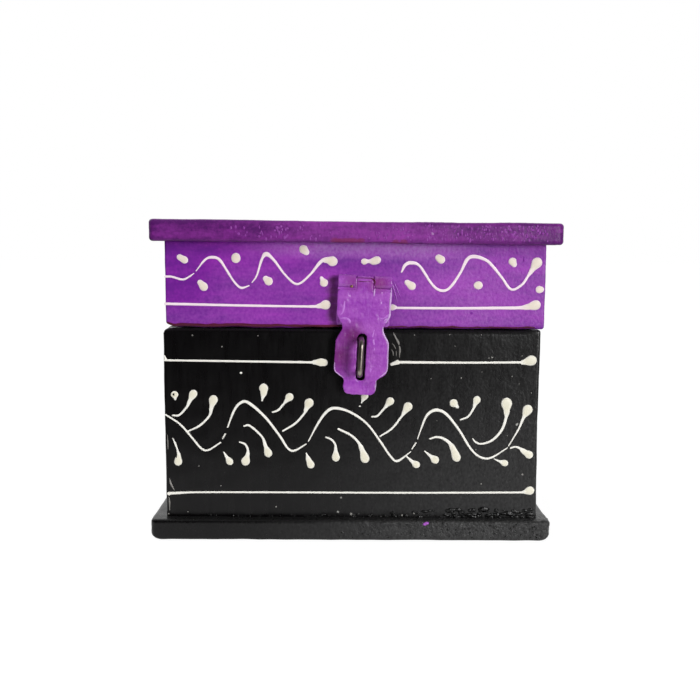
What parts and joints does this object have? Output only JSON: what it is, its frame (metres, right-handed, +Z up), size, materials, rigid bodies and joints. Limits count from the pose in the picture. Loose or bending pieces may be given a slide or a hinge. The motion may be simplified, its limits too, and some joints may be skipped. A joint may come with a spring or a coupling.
{
  "type": "jewellery box",
  "caption": "Small painted wooden box on a plinth board, with an overhanging hinged lid and a stamped hasp that closes over a wire staple for a padlock.",
  "frame": {"origin": "middle of the underside, on the surface that the box stands on", "axes": "+X to the right along the front, +Y to the back, +Z up"},
  "size_m": [0.141, 0.1081, 0.1115],
  "materials": {
    "base_enamel": "black brushed enamel paint on wood",
    "lid_enamel": "purple brushed enamel paint on wood",
    "hasp_enamel": "purple enamel brushed over steel",
    "staple_steel": "bare dark steel wire",
    "hinge_steel": "plated steel, dulled",
    "velvet": "short-pile velvet on card",
    "relief_paint": "raised cream paint"
  },
  "bodies": {
    "base": {"bottom_board": "base_enamel", "front_wall": "base_enamel", "back_wall": "base_enamel", "left_wall": "base_enamel", "right_wall": "base_enamel", "floor_lining": "velvet", "front_wall_lining": "velvet", "back_wall_lining": "velvet", "left_wall_lining": "velvet", "right_wall_lining": "velvet", "base_corner_pins": "hinge_steel", "bottom_board_pins": "hinge_steel", "left_hinge_base_leaf": "hinge_steel", "right_hinge_base_leaf": "hinge_steel", "left_hinge_pin": "hinge_steel", "right_hinge_pin": "hinge_steel", "hinge_base_nails": "hinge_steel", "staple": "staple_steel"},
    "lid": {"top_board": "lid_enamel", "lid_front_rail": "lid_enamel", "lid_back_rail": "lid_enamel", "lid_left_rail": "lid_enamel", "lid_right_rail": "lid_enamel", "lid_top_lining": "velvet", "lid_corner_pins": "hinge_steel", "top_board_pins": "hinge_steel", "left_hinge_lid_leaf": "hinge_steel", "right_hinge_lid_leaf": "hinge_steel", "hinge_lid_nails": "hinge_steel", "hasp_fixed_leaf": "hasp_enamel", "hasp_pin": "hasp_enamel", "hasp_nails": "hasp_enamel"},
    "hasp": {"hasp_arm": "hasp_enamel"}
  },
  "joints": [
    {"name": "lid_hinge", "type": "hinge", "parent": "base", "child": "lid", "pos_m": [0, 0.04745, 0.0746], "axis": [-1, 0, 0], "range_deg": [0, 175]},
    {"name": "hasp_hinge", "type": "hinge", "parent": "lid", "child": "hasp", "pos_m": [0.0042, -0.04795, 0.0909], "axis": [-0.999, 0, 0.0454], "range_deg": [0, 150]}
  ]
}
